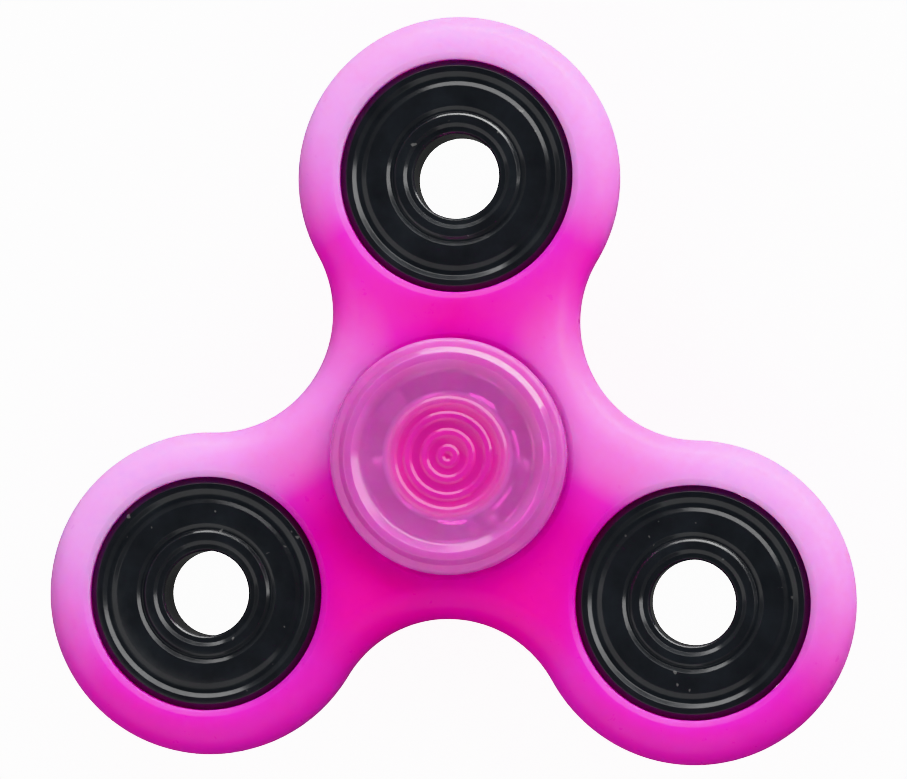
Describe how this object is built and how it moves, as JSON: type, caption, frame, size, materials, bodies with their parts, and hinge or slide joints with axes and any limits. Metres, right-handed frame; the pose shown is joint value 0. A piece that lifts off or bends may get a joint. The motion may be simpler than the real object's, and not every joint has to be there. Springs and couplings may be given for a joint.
{
  "type": "fidget spinner",
  "caption": "Three-lobed hand spinner: translucent moulded body on a centre ball bearing with dished finger caps, and a black bored weight ring pressed into each lobe.",
  "frame": {"origin": "middle of the centre bearing, half-way through the thickness", "axes": "+Z along the spin axis, out of the top cap; +Y towards one lobe; +X to the right, across the other two lobes"},
  "size_m": [0.0764, 0.0703, 0.0146],
  "materials": {
    "body_plastic": "translucent magenta moulding, polished",
    "cap_plastic": "clear pink-tinted moulding, polished",
    "ring_black": "gloss black coating on iron",
    "race_steel": "ground bearing steel",
    "ball_steel": "lapped and polished",
    "cage_steel": "pressed sheet steel, oiled"
  },
  "bodies": {
    "hub": {"bearing_inner_race": "race_steel", "top_cap": "cap_plastic", "bottom_cap": "cap_plastic"},
    "rotor": {"spinner_body": "body_plastic", "counterweight_top": "ring_black", "counterweight_left": "ring_black", "counterweight_right": "ring_black", "bearing_outer_race": "race_steel"},
    "cage": {"cage_upper": "cage_steel", "cage_lower": "cage_steel", "cage_rivet_1": "cage_steel", "cage_rivet_2": "cage_steel", "cage_rivet_3": "cage_steel", "cage_rivet_4": "cage_steel", "cage_rivet_5": "cage_steel", "cage_rivet_6": "cage_steel", "cage_rivet_7": "cage_steel"},
    "ball_1": {"ball_1": "ball_steel"},
    "ball_2": {"ball_2": "ball_steel"},
    "ball_3": {"ball_3": "ball_steel"},
    "ball_4": {"ball_4": "ball_steel"},
    "ball_5": {"ball_5": "ball_steel"},
    "ball_6": {"ball_6": "ball_steel"},
    "ball_7": {"ball_7": "ball_steel"}
  },
  "joints": [
    {"name": "spin", "type": "hinge", "parent": "hub", "child": "rotor", "pos_m": [0, 0, 0], "axis": [0, 0, 1], "continuous": true},
    {"name": "cage_orbit", "type": "hinge", "parent": "hub", "child": "cage", "pos_m": [0, 0, 0], "axis": [0, 0, 1], "continuous": true},
    {"name": "ball_1_roll", "type": "hinge", "parent": "cage", "child": "ball_1", "pos_m": [0, 0.0075, 0], "axis": [0, 0, 1], "continuous": true},
    {"name": "ball_2_roll", "type": "hinge", "parent": "cage", "child": "ball_2", "pos_m": [-0.00586, 0.00468, 0], "axis": [0, 0, 1], "continuous": true},
    {"name": "ball_3_roll", "type": "hinge", "parent": "cage", "child": "ball_3", "pos_m": [-0.00731, -0.00167, 0], "axis": [0, 0, 1], "continuous": true},
    {"name": "ball_4_roll", "type": "hinge", "parent": "cage", "child": "ball_4", "pos_m": [-0.00325, -0.00676, 0], "axis": [0, 0, 1], "continuous": true},
    {"name": "ball_5_roll", "type": "hinge", "parent": "cage", "child": "ball_5", "pos_m": [0.00325, -0.00676, 0], "axis": [0, 0, 1], "continuous": true},
    {"name": "ball_6_roll", "type": "hinge", "parent": "cage", "child": "ball_6", "pos_m": [0.00731, -0.00167, 0], "axis": [0, 0, 1], "continuous": true},
    {"name": "ball_7_roll", "type": "hinge", "parent": "cage", "child": "ball_7", "pos_m": [0.00586, 0.00468, 0], "axis": [0, 0, 1], "continuous": true}
  ],
  "couplings": [
    {"joint": "cage_orbit", "follows": "spin", "ratio": 0.6323},
    {"joint": "ball_1_roll", "follows": "spin", "ratio": 1.7573},
    {"joint": "ball_2_roll", "follows": "spin", "ratio": 1.7573},
    {"joint": "ball_3_roll", "follows": "spin", "ratio": 1.7573},
    {"joint": "ball_4_roll", "follows": "spin", "ratio": 1.7573},
    {"joint": "ball_5_roll", "follows": "spin", "ratio": 1.7573},
    {"joint": "ball_6_roll", "follows": "spin", "ratio": 1.7573},
    {"joint": "ball_7_roll", "follows": "spin", "ratio": 1.7573}
  ]
}
